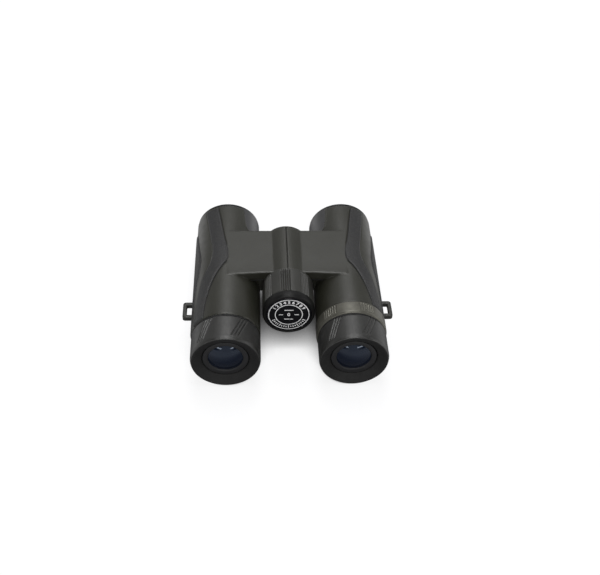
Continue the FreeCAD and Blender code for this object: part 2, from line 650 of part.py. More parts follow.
def hinge_shaft():
    """Hollow shaft of the hinge, thicker at its front end, and slotted for the drive pins."""
    shaft = rod(HINGE, SHAFT_R, *SHAFT_Y).fuse(rod(HINGE, JOURNAL_R, JOURNAL_REAR_Y, SHAFT_Y[1]))
    shaft = shaft.cut(rod(HINGE, SHAFT_BORE_R, SHAFT_Y[0], SOCKET_Y[0] - WALL))
    shaft = shaft.cut(rod(HINGE, INSERT_R, *SOCKET_Y))
    half_length = FOCUS_TRAVEL + PIN_R + PIN_GAP
    half_width = PIN_R + PLAY
    slot = block(-half_width, half_width, FOCUS_Y - half_length, FOCUS_Y + half_length,
                 HINGE_Z - SHAFT_R, HINGE_Z + SHAFT_R)
    return shaft.cut(slot)


def tripod_insert():
    """Brass bush with the tripod thread, in the front end of the shaft."""
    return tube(HINGE, INSERT_R, SOCKET_R, *SOCKET_Y)


def hinge_front_cap():
    """Cover on the front end of the hinge, with a hole for the tripod screw."""
    spigot, back, edge, front = CAP_Y
    outline = [
        (CAP_SCREW_R, front),
        (CAP_SCREW_R, SHAFT_Y[1] + CAP_GAP),
        (JOURNAL_R, SHAFT_Y[1] + CAP_GAP),
        (JOURNAL_R, spigot),
        (CAP_SPIGOT_R, spigot),
        (CAP_SPIGOT_R, back),
        (CAP_R, back),
        (CAP_R, edge),
        (CAP_R - CAP_BEVEL, front),
    ]
    return turned(HINGE, outline)


def hinge_covers():
    """Two curved shields inside the half sleeves, which close the splits above and below."""
    shields = [sector(HINGE, *COVER_R, *COVER_Y, *span) for span in COVER_SPANS]
    return Part.makeCompound(shields)


def focus_carriage():
    """Spool on the shaft, whose groove carries both focusing arms at any fold."""
    groove = ARM_WIDTH / 2 + PLAY
    half = groove + SPOOL_FLANGE
    bore = SHAFT_R + RUNNING
    outline = [
        (bore, FOCUS_Y - half),
        (SPOOL_R, FOCUS_Y - half),
        (SPOOL_R, FOCUS_Y - groove),
        (SPOOL_GROOVE_R, FOCUS_Y - groove),
        (SPOOL_GROOVE_R, FOCUS_Y + groove),
        (SPOOL_R, FOCUS_Y + groove),
        (SPOOL_R, FOCUS_Y + half),
        (bore, FOCUS_Y + half),
    ]
    return turned(HINGE, outline).cut(drive_pins())


def drive_nut():
    """Nut that the focusing screw drives along the shaft's bore."""
    nut = tube(HINGE, SHAFT_BORE_R - RUNNING, SCREW_R + RUNNING, FOCUS_Y - NUT_HALF, FOCUS_Y + NUT_HALF)
    return nut.cut(drive_pins())


def focus_screw():
    """Screw in the shaft, fixed in the knob; its threads are left plain."""
    head_front = KNOB_WEB_Y[0] + SCREW_HEAD
    shank = rod(HINGE, SCREW_R, head_front, FOCUS_Y + FOCUS_TRAVEL + SCREW_END)
    return shank.fuse(rod(HINGE, SCREW_HEAD_R, KNOB_WEB_Y[0], head_front))


def knob_core():
    """Hard body of the focusing knob: hub on the shaft, web, and rear band."""
    rear, web_front = KNOB_WEB_Y
    head_front = rear + SCREW_HEAD
    hub_bore = SHAFT_R + RUNNING
    shaft_end = SHAFT_Y[0] - KNOB_SET_BACK
    core_front = KNOB_FRONT_Y - KNOB_SET_BACK
    outline = [
        (SCREW_HEAD_R, rear),
        (SCREW_HEAD_R, head_front),
        (SCREW_R, head_front),
        (SCREW_R, shaft_end),
        (hub_bore, shaft_end),
        (hub_bore, HUB_FRONT_Y),
        (KNOB_HOLLOW_R[0], HUB_FRONT_Y),
        (KNOB_HOLLOW_R[0], web_front),
        (KNOB_HOLLOW_R[1], web_front),
        (KNOB_HOLLOW_R[1], core_front),
        (KNOB_CORE_R, core_front),
        (KNOB_CORE_R, KNOB_SEAM_Y),
        (KNOB_R, KNOB_SEAM_Y),
        (KNOB_R, KNOB_EDGE_Y),
        *[(KNOB_R - inside, KNOB_REAR_Y + ahead) for inside, ahead in KNOB_ROUNDING],
        (KNOB_FACE_R, KNOB_REAR_Y),
        (KNOB_FACE_R, rear),
    ]
    return turned(HINGE, outline)


def knob_grip():
    """Rubber ring round the knob, with groups of fine grooves along it."""
    grip = turned(HINGE, [
        (KNOB_CORE_R, KNOB_FRONT_Y),
        (KNOB_R - KNOB_CHAMFER, KNOB_FRONT_Y),
        (KNOB_R, KNOB_FRONT_Y - KNOB_CHAMFER),
        (KNOB_R, KNOB_SEAM_Y),
        (KNOB_CORE_R, KNOB_SEAM_Y),
    ])
    cutters = []
    for group in range(GRIP_GROUPS):
        for groove in range(GRIP_GROOVES):
            angle = GRIP_FIRST + group * 360 / GRIP_GROUPS + (groove - GRIP_GROOVES // 2) * GRIP_PITCH
            centre = polar(HINGE, KNOB_R + PLAY, angle, 0)
            cutters.append(rod((centre.x, centre.z), GRIP_GROOVE_R, KNOB_SEAM_Y - 1, KNOB_FRONT_Y + 1))
    return grip.cut(Part.makeCompound(cutters))


def knob_cap():
    """Disc that closes the knob's rear face, a little behind its edge."""
    return rod(HINGE, KNOB_FACE_R, KNOB_REAR_Y + CAP_SET_BACK, KNOB_WEB_Y[0])


# ---- everything -----------------------------------------------------------------------------
def barrel_pieces(side):
    """All pieces of one barrel, by name."""
    pieces = {
        "chassis": chassis(side),
        "armour": armour(ARMOUR_REAR_Y[side]),
        "grip_pad": grip_pad(side),
        "lower_pad": lower_pad(side),
        "strap_lug": strap_lug(),
        "objective_ring": objective_ring(),
        "objective_cell": objective_cell(),
        "objective_o_ring": objective_o_ring(),
        "focus_cell": focus_cell(),
        "focus_lens": focus_lens(),
        "prism_cage": prism_cage(),
        "half_penta_prism": half_penta_prism(),
        "roof_prism": roof_prism(),
        "field_lens_cell": field_lens_cell(side),
        "field_lens": field_lens(),
        "eyepiece_tube": eyepiece_tube(),
        "eyecup_circlip": eyecup_circlip(),
        "eyecup_guide": eyecup_guide(),
        "eyecup_sleeve": eyecup_sleeve(),
        "eyecup_rubber": eyecup_rubber(),
    }
    pieces.update(objective_lenses())
    pieces.update(eyepiece_lenses())
    return {name: on_side(shape, side) for name, shape in pieces.items()}


def centre_pieces():
    """All pieces on the hinge, by name, and the dioptre ring."""
    return {
        "hinge_shaft": hinge_shaft(),
        "tripod_insert": tripod_insert(),
        "hinge_front_cap": hinge_front_cap(),
        "hinge_covers": hinge_covers(),
        "focus_carriage": focus_carriage(),
        "drive_nut": drive_nut(),
        "drive_pins": drive_pins(),
        "focus_screw": focus_screw(),
        "knob_core": knob_core(),
        "knob_grip": knob_grip(),
        "knob_cap": knob_cap(),
        "dioptre_ring": dioptre_ring(),
    }


os.makedirs("parts", exist_ok=True)
for side_name in ("left", "right"):
    for piece_name, piece in barrel_pieces(side_name).items():
        save(f"{side_name}_{piece_name}", piece)
for piece_name, piece in centre_pieces().items():
    save(piece_name, piece)
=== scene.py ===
import json
import math
import bpy
import numpy as np
import openvdb
from mathutils import Matrix, Vector


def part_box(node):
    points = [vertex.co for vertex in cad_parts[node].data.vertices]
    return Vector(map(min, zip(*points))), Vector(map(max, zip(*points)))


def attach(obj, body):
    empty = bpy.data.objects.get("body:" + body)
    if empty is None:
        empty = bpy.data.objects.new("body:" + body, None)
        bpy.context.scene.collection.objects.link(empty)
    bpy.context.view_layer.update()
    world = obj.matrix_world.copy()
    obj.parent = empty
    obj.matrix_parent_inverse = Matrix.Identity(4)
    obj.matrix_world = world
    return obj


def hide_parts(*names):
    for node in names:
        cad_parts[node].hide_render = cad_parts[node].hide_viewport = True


# Looks of the compact binoculars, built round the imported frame.
# Shapes are worked out in millimetres, in the frame's own axes, and written to meshes in metres.
# Armour, pads and strap lugs are built for the right barrel, and mirrored for the left one.
# Angles round a barrel are in degrees from its top, towards +X on lathed pieces, and towards
# the outer side of the barrel on its armour and pads.

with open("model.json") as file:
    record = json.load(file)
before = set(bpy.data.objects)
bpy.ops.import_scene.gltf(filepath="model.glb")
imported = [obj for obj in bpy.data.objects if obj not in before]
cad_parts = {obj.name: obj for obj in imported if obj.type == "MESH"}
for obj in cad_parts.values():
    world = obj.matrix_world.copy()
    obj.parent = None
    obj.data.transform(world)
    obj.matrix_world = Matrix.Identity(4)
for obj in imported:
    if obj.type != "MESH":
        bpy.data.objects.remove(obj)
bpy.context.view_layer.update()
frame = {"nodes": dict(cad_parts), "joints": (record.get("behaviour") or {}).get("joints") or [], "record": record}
MM = 0.001
JOINTS = {joint["name"]: joint for joint in frame["joints"]}
HINGE_Z = JOINTS["interpupillary_hinge"]["pos_m"][2] / MM
HINGE = (0.0, HINGE_Z)
BARREL_X = JOINTS["right_eyecup_twist"]["pos_m"][0] / MM
BARREL_Z = JOINTS["right_eyecup_twist"]["pos_m"][2] / MM
SIDES = {"left": -1, "right": 1}
BARRELS = {side: (sign * BARREL_X, BARREL_Z) for side, sign in SIDES.items()}


def box_mm(node):
    """Lowest and highest corner of a CAD node, in millimetres."""
    low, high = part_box(node)
    return np.array(low) / MM, np.array(high) / MM


# ---- sizes, in millimetres -------------------------------------------------------------------
ARMOUR_R = 20.0
PAD_R = 20.6
TUBE_R = 19.2
SLEEVE_R = 14.0
SLEEVE_INNER_R = 13.2
SLEEVE_SPLIT = 0.15         # half of the gap between the two half sleeves
SLEEVE_LOW_EDGE = math.radians(-59.5)    # tilt of the plane where a half sleeve ends below
EDGE = 0.9                  # rounding of the armour's rear edges and of the bridge
FRONT_EDGE = 1.5            # rounding of the armour's front edge
OPENING_EDGE = 1.2          # rounding of the opening's edge
SPLIT_EDGE = 0.45           # rounding of the half sleeves' edges where they meet
ARMOUR_FRONT = 58.3
ARMOUR_REAR = {side: box_mm(f"{side}_armour")[0][1] for side in SIDES}
BRIDGE_TOP = BARREL_Z + ARMOUR_R
BRIDGE_BOTTOM = 21.2
BRIDGE_PLATE = 6.0          # thickness of the bridge's overhanging top plate
BRIDGE_UNDERCUT = 4.4       # how far the web under the plate stands back from its ends
BRIDGE_REAR, BRIDGE_FRONT = -6.4, 32.6
BRIDGE_TIP = -8.0           # where the plate's rear edge meets the barrel's crown
BRIDGE_LIP = 0.35           # how far the plate's rear edge stands above the barrel's crown
BRIDGE_LIP_RUN = 5.0        # how fast that lip sinks towards the front
BRIDGE_SKIN = 0.8           # thickness of the armour on the bridge
OPENING_REAR = 38.0         # rear end of the opening that leaves the tube bare
OPENING_INSET = 12.0        # from the barrel's axis to the opening's edge, at its rear end
OPENING_SLANT = 3.2 / 21.3  # how much nearer to the axis the edge comes, for each millimetre forwards
OPENING_HALF_HEIGHT = 17.0
OPENING_CORNER = 6.0        # rounding of the corner between its rear end and its inner edge
OPENING_ENDS = 3.0          # rounding of its corners at the top and bottom
BEAD = 0.4                  # height of the bead round the opening
BEAD_PLACE = 0.6            # from the opening's edge to the middle of the bead
BEAD_WIDTH = 0.5
POCKET = 0.35               # depth of the armour's pocket under each pad
POCKET_SLOPE = 0.55         # width of the pocket's sloping wall
EYECUP_FACE_R = 19.2        # the eyecup's matt face lies inside this radius
SHARP_ANGLE = math.radians(38)    # smooth pieces keep the edges that turn more than this
KNOB_R = 15.3
SCALE_R = 9.85              # middle of the numbers and of the line scale on the dial plate
PRINT = 0.05                # how far the dial's print stands out


# ---- mesh tools ------------------------------------------------------------------------------
def signed_volume(points, faces):
    """Volume inside a closed mesh; negative if its faces look inwards."""
    first = points[faces[:, 0]]
    total = 0.0
    for i in range(1, faces.shape[1] - 1):
        cross = np.cross(points[faces[:, i]], points[faces[:, i + 1]])
        total += np.einsum("ij,ij->i", first, cross).sum()
    return total / 6


def mesh_piece(name, points, faces, body, slot, stands_for=(), paint=None, smooth=True):
    """New piece from points in millimetres, riding on a body, in its slot's paint or another one."""
    points = np.asarray(points, float)
    faces = np.asarray(faces)
    if signed_volume(points - points.mean(0), faces) < 0:
        faces = faces[:, ::-1]
    mesh = bpy.data.meshes.new(name)
    mesh.from_pydata((points * MM).tolist(), [], faces.tolist())
    mesh.validate()
    mesh.polygons.foreach_set("use_smooth", [smooth] * len(mesh.polygons))
    if smooth:
        mesh.set_sharp_from_angle(angle=SHARP_ANGLE)
    piece = bpy.data.objects.new(name, mesh)
    bpy.context.scene.collection.objects.link(piece)
    mesh.materials.append(PAINTS[paint or slot])
    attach(piece, body)
    if stands_for:
        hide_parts(*stands_for)
    return piece


def grid_faces(rows, columns, close_rows, close_columns):
    """Quads of a grid of points that is stored row by row."""
    row = np.arange(rows if close_rows else rows - 1)
    column = np.arange(columns if close_columns else columns - 1)
    row, column = np.meshgrid(row, column, indexing="ij")
    next_row, next_column = (row + 1) % rows, (column + 1) % columns
    corners = [(row, column), (row, next_column), (next_row, next_column), (next_row, column)]
    return np.stack([r * columns + c for r, c in corners], -1).reshape(-1, 4)


def rounded(outline, radius, steps=4):
    """Closed outline whose corners are replaced by small curves."""
    result = []
    count = len(outline)
    for i, point in enumerate(outline):
        corner = np.array(point, float)
        arms = [np.array(outline[i - 1]) - corner, np.array(outline[(i + 1) % count]) - corner]
        lengths = [np.linalg.norm(arm) for arm in arms]
        reach = min(radius, 0.45 * lengths[0], 0.45 * lengths[1])
        start, end = [corner + arm / length * reach for arm, length in zip(arms, lengths)]
        for t in np.linspace(0, 1, steps + 1):
            result.append((1 - t) ** 2 * start + 2 * t * (1 - t) * corner + t ** 2 * end)
    return np.array(result)


def refined(outline, step):
    """Closed outline with its long stretches divided."""
    result = []
    for a, b in zip(outline, np.roll(outline, -1, axis=0)):
        parts = max(1, int(np.linalg.norm(b - a) / step))
        result.extend(a + (b - a) * i / parts for i in range(parts))
    return np.array(result)


def lathe(name, centre, outline, body, slot, stands_for=(), paint=None, columns=180, relief=None):
    """Turned ring about an axis along Y; relief(angle, y, radius) adds to the radius."""
    angle = np.linspace(0, 360, columns, endpoint=False)[None, :]
    radius = outline[:, :1] + 0 * angle
    y = outline[:, 1:] + 0 * angle
    if relief:
        radius = radius + relief(angle, y, radius)
    x = centre[0] + radius * np.sin(np.radians(angle))
    z = centre[1] + radius * np.cos(np.radians(angle))
    points = np.stack([x, y, z], -1).reshape(-1, 3)
    faces = grid_faces(len(outline), columns, True, True)
    return mesh_piece(name, points, faces, body, slot, stands_for, paint)


def smooth_step(value, low, high):
    """0 below low, 1 above high, and a smooth rise between."""
    t = np.clip((value - low) / (high - low), 0, 1)
    return t * t * (3 - 2 * t)


def blend_min(a, b, width):
    """Smaller of two distances, with a hollow rounding where they meet."""
    h = np.maximum(width - np.abs(a - b), 0) / width
    return np.minimum(a, b) - h * h * width / 4


def blend_max(a, b, width):
    """Larger of two distances, with a rounded edge where they meet."""
    return -blend_min(-a, -b, width)


def carve(distance, low, high, step):
    """Mesh of the surface where distance(x, y, z) is zero, settled on that surface."""
    low = np.array(low, float)
    axes = [np.arange(low[i], high[i] + step, step) for i in range(3)]
    x, y, z = np.meshgrid(*axes, indexing="ij", sparse=True)
    field = np.ascontiguousarray(distance(x, y, z) + 0 * (x + y + z), dtype=np.float32)
    grid = openvdb.FloatGrid(3 * step)
    grid.copyFromArray(field)
    points, faces = grid.convertToQuads()
    points = low + points.astype(float) * step
    small = step / 10
    for _ in range(3):
        away = distance(*points.T)
        slope = np.stack([distance(*(points + small * np.eye(3)[i]).T) - away for i in range(3)], 1) / small
        size = np.maximum((slope ** 2).sum(1), 0.25)
        points -= np.clip(away / size, -step / 2, step / 2)[:, None] * slope
    return points, faces.astype(int)


# ---- materials -------------------------------------------------------------------------------
class Paint:
    """A material with a few short ways to add nodes to it."""

    def __init__(self, name, roughness, metallic=0.0, specular=0.5):
        self.material = bpy.data.materials.new(name)
        self.material.use_nodes = True
        self.nodes = self.material.node_tree.nodes
        self.links = self.material.node_tree.links
        self.shader = self.nodes["Principled BSDF"]
        self.shader.inputs["Roughness"].default_value = roughness
        self.shader.inputs["Metallic"].default_value = metallic
        self.shader.inputs["Specular IOR Level"].default_value = specular
        self.place = self.nodes.new("ShaderNodeTexCoord").outputs["Object"]
        self.normal = None

    def noise(self, per_mm, detail, stretch=None):
        """Cloudy pattern with a given number of lumps per millimetre."""
        node = self.nodes.new("ShaderNodeTexNoise")
        node.inputs["Scale"].default_value = per_mm / MM
        node.inputs["Detail"].default_value = detail
        self.links.new(self.stretched(stretch), node.inputs["Vector"])
        return node.outputs["Fac"]

    def cells(self, per_mm):
        """Pattern of small cells."""
        node = self.nodes.new("ShaderNodeTexVoronoi")
        node.inputs["Scale"].default_value = per_mm / MM
        self.links.new(self.place, node.inputs["Vector"])
        return node.outputs["Distance"]

    def stretched(self, stretch):
        """Place on the object, squeezed along its axes."""
        if stretch is None:
            return self.place
        node = self.nodes.new("ShaderNodeMapping")
        node.inputs["Scale"].default_value = stretch
        self.links.new(self.place, node.inputs["Vector"])
        return node.outputs["Vector"]

    def ramp(self, value, low, high, first, second):
        """Goes from the first colour or grey to the second as value goes from low to high."""
        node = self.nodes.new("ShaderNodeValToRGB")
        for element, place, colour in zip(node.color_ramp.elements, (low, high), (first, second)):
            element.position = place
            element.color = (*colour, 1.0) if isinstance(colour, tuple) else (colour, colour, colour, 1.0)
        self.links.new(value, node.inputs["Fac"])
        return node.outputs["Color"]

    def colour(self, value):
        """Colour of the surface: a fixed one, or a node's."""
        if isinstance(value, tuple):
            self.shader.inputs["Base Color"].default_value = (*value, 1.0)
        else:
            self.links.new(value, self.shader.inputs["Base Color"])
        return self

    def roughness(self, value):
        """Roughness of the surface, from a node."""
        self.links.new(value, self.shader.inputs["Roughness"])
        return self

    def bump(self, value, depth_mm, strength):
        """Small relief; several are added to each other."""
        node = self.nodes.new("ShaderNodeBump")
        node.inputs["Strength"].default_value = strength
        node.inputs["Distance"].default_value = depth_mm * MM
        self.links.new(value, node.inputs["Height"])
        if self.normal is not None:
            self.links.new(self.normal, node.inputs["Normal"])
        self.normal = node.outputs["Normal"]
        self.links.new(self.normal, self.shader.inputs["Normal"])
        return self


def smooth_armour_paint():
    """Satin warm dark grey rubber, with faint cloudiness and a very fine moulded texture."""
    paint = Paint("smooth_armour", 0.42)
    paint.colour(paint.ramp(paint.noise(0.06, 4), 0.35, 0.65, (0.015, 0.015, 0.010), (0.019, 0.019, 0.014)))
    paint.roughness(paint.ramp(paint.noise(0.25, 4), 0.3, 0.7, 0.38, 0.47))
    paint.bump(paint.noise(3.0, 2), 0.03, 0.5)
    return paint.material


def grip_paint():
    """Matt leather-grained rubber; the grain's own relief is in the mesh."""
    paint = Paint("grip_rubber", 0.62)
    paint.colour(paint.ramp(paint.noise(0.5, 4), 0.35, 0.65, (0.013, 0.013, 0.014), (0.018, 0.018, 0.018)))
    paint.roughness(paint.ramp(paint.noise(1.0, 3), 0.3, 0.7, 0.52, 0.68))
    paint.bump(paint.cells(1.6), 0.08, 0.6)
    return paint.material


def eyecup_paint():
    """Soft black rubber: satin skirt, matt face."""
    paint = Paint("eyecup_rubber", 0.42)
    paint.colour(paint.ramp(paint.noise(0.2, 4), 0.35, 0.65, (0.015, 0.015, 0.014), (0.019, 0.019, 0.018)))
    paint.roughness(paint.ramp(paint.noise(0.5, 3), 0.3, 0.7, 0.36, 0.46))
    paint.bump(paint.noise(2.5, 2), 0.03, 0.4)
    return paint.material


def plain_paint(name, colour, roughness, specular=0.3):
    """Moulded plastic, lacquer or print, with slightly uneven colour and gloss."""
    paint = Paint(name, roughness, specular=specular)
    darker = tuple(c * 0.85 for c in colour)
    paint.colour(paint.ramp(paint.noise(0.15, 3), 0.35, 0.65, darker, colour))
    paint.roughness(paint.ramp(paint.noise(0.4, 3), 0.3, 0.7, roughness * 0.88, roughness * 1.1))
    paint.bump(paint.noise(2.0, 2), 0.015, 0.4)
    return paint.material


def turned_metal(name, colour, roughness, metallic=1.0):
    """Metal with fine marks round its axis."""
    paint = Paint(name, roughness, metallic)
    paint.colour(paint.ramp(paint.noise(0.3, 3), 0.3, 0.7, tuple(c * 0.8 for c in colour), colour))
    streaks = paint.noise(0.5, 3, (0.2, 6.0, 0.2))
    paint.roughness(paint.ramp(streaks, 0.3, 0.7, roughness * 0.8, roughness * 1.25))
    paint.bump(paint.noise(0.8, 2, (0.1, 8.0, 0.1)), 0.01, 0.3)
    return paint.material


def coated_glass():
    """Dark coated lens with a weak bluish reflection."""
    paint = Paint("coated_glass", 0.03, specular=0.25)
    paint.shader.inputs["Specular Tint"].default_value = (0.75, 0.85, 1.0, 1.0)
    dark, light = (0.006, 0.009, 0.018), (0.0078, 0.0117, 0.0234)
    paint.colour(paint.ramp(paint.noise(0.05, 2), 0.3, 0.7, dark, light))
    return paint.material


def clear_glass():
    """Uncoated optical glass of the inner lenses and prisms."""
    paint = Paint("clear_glass", 0.02)
    paint.shader.inputs["Transmission Weight"].default_value = 0.9
    paint.shader.inputs["IOR"].default_value = 1.52
    paint.colour(paint.ramp(paint.noise(0.05, 2), 0.3, 0.7, (0.72, 0.80, 0.80), (0.80, 0.86, 0.86)))
    return paint.material


PAINTS = {
    "smooth_armour": smooth_armour_paint(),
    "grip_rubber": grip_paint(),
    "eyecup_rubber": eyecup_paint(),
    "eyecup_face": plain_paint("eyecup_face", (0.017, 0.017, 0.017), 0.65, 0.15),
    "chassis_metal": plain_paint("chassis_metal", (0.045, 0.045, 0.047), 0.32),
    "lug_plastic": plain_paint("lug_plastic", (0.035, 0.035, 0.032), 0.42),
    "black_anodised": plain_paint("black_anodised", (0.010, 0.010, 0.011), 0.35),
    "seal_rubber": plain_paint("seal_rubber", (0.012, 0.012, 0.012), 0.7),
    "inner_plastic": plain_paint("inner_plastic", (0.010, 0.010, 0.010), 0.7),
    "eyepiece_plastic": plain_paint("eyepiece_plastic", (0.020, 0.020, 0.021), 0.5, 0.2),
    "knob_plastic": plain_paint("knob_plastic", (0.008, 0.008, 0.008), 0.4, 0.15),
    "knob_rubber": plain_paint("knob_rubber", (0.024, 0.024, 0.021), 0.42, 0.5),
    "dial_plate": plain_paint("dial_plate", (0.007, 0.007, 0.009), 0.3, 0.1),
    "dial_print": plain_paint("dial_print", (0.95, 0.95, 0.96), 0.5),
    "dioptre_metal": turned_metal("dioptre_metal", (0.105, 0.102, 0.085), 0.40, 0.5),
    "steel": turned_metal("steel", (0.55, 0.55, 0.56), 0.3),
    "brass": turned_metal("brass", (0.70, 0.52, 0.25), 0.3),
    "coated_glass": coated_glass(),
    "clear_glass": clear_glass(),
}


def paint_cad_nodes():
    """Every CAD node takes the material of its record slot."""
    for subpart in frame["record"]["subparts"]:
        node = frame["nodes"][subpart["node"]]
        node.data.materials.clear()
        node.data.materials.append(PAINTS[subpart["material_slot"]])


# ---- pads ------------------------------------------------------------------------------------
class Curve:
    """Angle as a smooth function of y, through a few points."""

    def __init__(self, points):
        points = sorted((y, angle) for angle, y in points)
        self.y, self.angle = np.array(points).T
        self.slope = np.gradient(self.angle, self.y)

    def __call__(self, y):
        y = np.clip(y, self.y[0], self.y[-1])
        i = np.clip(np.searchsorted(self.y, y) - 1, 0, len(self.y) - 2)
        width = self.y[i + 1] - self.y[i]
        t = (y - self.y[i]) / width
        share = 3 * t ** 2 - 2 * t ** 3
        level = self.angle[i] * (1 - share) + self.angle[i + 1] * share
        leaving = self.slope[i] * width * (t ** 3 - 2 * t ** 2 + t)
        arriving = self.slope[i + 1] * width * (t ** 3 - t ** 2)
        return level + leaving + arriving


class Pad:
    """A raised pad on the outer side of a barrel, between two curves and two ends."""

    def __init__(self, name, inner, outer, rear, front):
        self.name = name
        self.inner, self.outer = Curve(inner), Curve(outer)
        self.rear, self.front = rear, front

    def inside(self, angle, y):
        """How far a place lies inside the pad's outline, in millimetres; negative outside."""
        scale = math.radians(1) * ARMOUR_R
        across = []
        for curve, way in ((self.inner, 1), (self.outer, -1)):
            steep = (curve(y + 0.5) - curve(y - 0.5)) * scale
            across.append(way * (angle - curve(y)) * scale / np.sqrt(1 + steep ** 2))
        return np.minimum(np.minimum(*across), np.minimum(y - self.rear, self.front - y))


def pads_of(side):
    """The upper grip pad and the lower pad of one barrel; their edges go through points (angle, y)."""
    rear = ARMOUR_REAR[side] + 0.8
    upper_inner = [
        (17.5, 56.5), (11, 42), (3.5, 25), (-3.5, 12), (-2, 5.6), (8, 0), (26.5, -15), (36, -28), (40, -40),
    ]
    upper_outer = [(44, 56.5), (31, 28), (25.5, 14), (29, 6), (45, -5.5), (56, -18), (62, -28), (66, -40)]
    lower_inner = [(75, 45), (62, 28), (53, 13), (57, 2), (68, -10), (78, -22), (84, -40)]
    under = [(200, 45), (200, -40)]
    return [
        Pad("grip_pad", upper_inner, upper_outer, rear, 56.3),
        Pad("lower_pad", lower_inner, under, rear, 44.8),
    ]


def scattered(value):
    """Number between 0 and 1 that looks random, but is the same each time."""
    return np.modf(np.abs(np.sin(value)) * 43758.5453)[0]


def leather_grain(across, along, cell):
    """Pebbled grain, from 0 in the creases to 1 on the pebbles; one pebble in each cell of a grid."""
    first, span = 0.15, 0.7     # where a pebble's middle may lie in its cell
    crease = 0.45               # width of the creases, in cells
    u, v = across / cell, along / cell
    nearest = np.full(u.shape, 9.0)
    second = np.full(u.shape, 9.0)
    for du in (-1, 0, 1):
        for dv in (-1, 0, 1):
            cu, cv = np.floor(u) + du, np.floor(v) + dv
            shift_u = first + span * scattered(cu * 127.1 + cv * 311.7)
            shift_v = first + span * scattered(cu * 269.5 + cv * 183.3)
            reach = np.hypot(cu + shift_u - u, cv + shift_v - v)
            second = np.minimum(second, np.maximum(nearest, reach))
            nearest = np.minimum(nearest, reach)
    return smooth_step(second - nearest, 0.0, crease)


def spread(length, step, near):
    """Places from 0 to length: close together near both ends, and a step apart between."""
    near = np.array(near)
    middle = np.linspace(near[-1], length - near[-1], max(2, int((length - 2 * near[-1]) / step)))
    return np.concatenate([near[:-1], middle, (length - near[:-1])[::-1]]) / length


def pad_piece(side, pad):
    """Pad with a bevelled border and leather grain inside."""
    step = 0.36                 # between the mesh's points, inside the border
    grain_size, grain_depth = 1.25, 0.10
    scale = math.radians(1) * ARMOUR_R
    height = PAD_R - ARMOUR_R
    border_at = [0.0, 0.12, 0.25, 0.4, 0.6, 0.8, 0.95, 1.15, 1.4]    # rows of points near an edge
    bevel_at, bevel = (0.0, 0.3, 0.95), (-0.3, 0.32, height)    # distance from the edge, and height
    widest = float(np.max(pad.outer(pad.inner.y) - pad.inner(pad.inner.y))) * scale
    y = pad.rear + (pad.front - pad.rear) * spread(pad.front - pad.rear, step, border_at)
    t = spread(widest, step, border_at)[None, :]
    angle = pad.inner(y)[:, None] * (1 - t) + pad.outer(y)[:, None] * t
    y = y[:, None] + 0 * t
    edge = pad.inside(angle, y)
    raised = np.interp(edge, bevel_at, bevel)
    grain = leather_grain(angle * scale, y, grain_size)
    raised = raised - grain_depth * (1 - grain) * smooth_step(edge, 1.2, 1.6)
    top_r = ARMOUR_R + raised
    low_r = 0 * top_r + ARMOUR_R - POCKET + 0.03
    rows, columns = y.shape
    layers = []
    for radius in (top_r, low_r):
        x = SIDES[side] * (BARREL_X + radius * np.sin(np.radians(angle)))
        z = BARREL_Z + radius * np.cos(np.radians(angle))
        layers.append(np.stack([x, y, z], -1).reshape(-1, 3))
    faces = grid_faces(rows, columns, False, False)
    count = rows * columns
    index = np.arange(count).reshape(rows, columns)
    border = np.concatenate([index[0, :], index[1:, -1], index[-1, -2::-1], index[-2:0:-1, 0]])
    ahead = np.roll(border, -1)
    walls = np.stack([ahead, border, border + count, ahead + count], -1)
    faces = np.concatenate([faces, faces[:, ::-1] + count, walls])
    name = f"{side}_{pad.name}"
    mesh_piece(f"{name}_leather", np.concatenate(layers), faces, f"{side}_barrel", "grip_rubber", [name])


# ---- armour ----------------------------------------------------------------------------------
def bridge_distance(x, y, z, skin, edge):
    """Distance to the bridge: an overhanging top plate, and a web under it that stands back."""
    slant = (BRIDGE_TIP - BRIDGE_REAR) / (BARREL_X - SLEEVE_R)
    rear = BRIDGE_REAR + slant * np.clip(x - SLEEVE_R, 0, None) + skin
    lip = BRIDGE_LIP * np.exp(-np.clip(y - rear, 0, None) / BRIDGE_LIP_RUN)
    lip = lip * smooth_step(BARREL_X - x, 0, 2)
    plate = blend_max(z - (BRIDGE_TOP + lip - skin), rear - y, edge)
    plate = blend_max(plate, y - (BRIDGE_FRONT - skin), edge)
    plate = blend_max(plate, (BRIDGE_TOP - BRIDGE_PLATE - skin) - z, edge)
    web = blend_max((BRIDGE_BOTTOM + skin) - z, (BRIDGE_REAR + BRIDGE_UNDERCUT + skin) - y, edge)
    web = blend_max(web, y - (BRIDGE_FRONT - BRIDGE_UNDERCUT - skin), edge)
    web = np.maximum(web, z - (BRIDGE_TOP - skin - 1))
    return np.maximum(blend_min(plate, web, 1.0), x - BARREL_X)


def recess_distance(x, y, z):
    """Distance to the space where the armour leaves the tube bare, near the objective."""
    edge_x = BARREL_X - OPENING_INSET + (y - OPENING_REAR) * OPENING_SLANT
    space = blend_max(x - edge_x, OPENING_REAR - y, OPENING_CORNER)
    return blend_max(space, np.abs(z - BARREL_Z) - OPENING_HALF_HEIGHT, OPENING_ENDS)


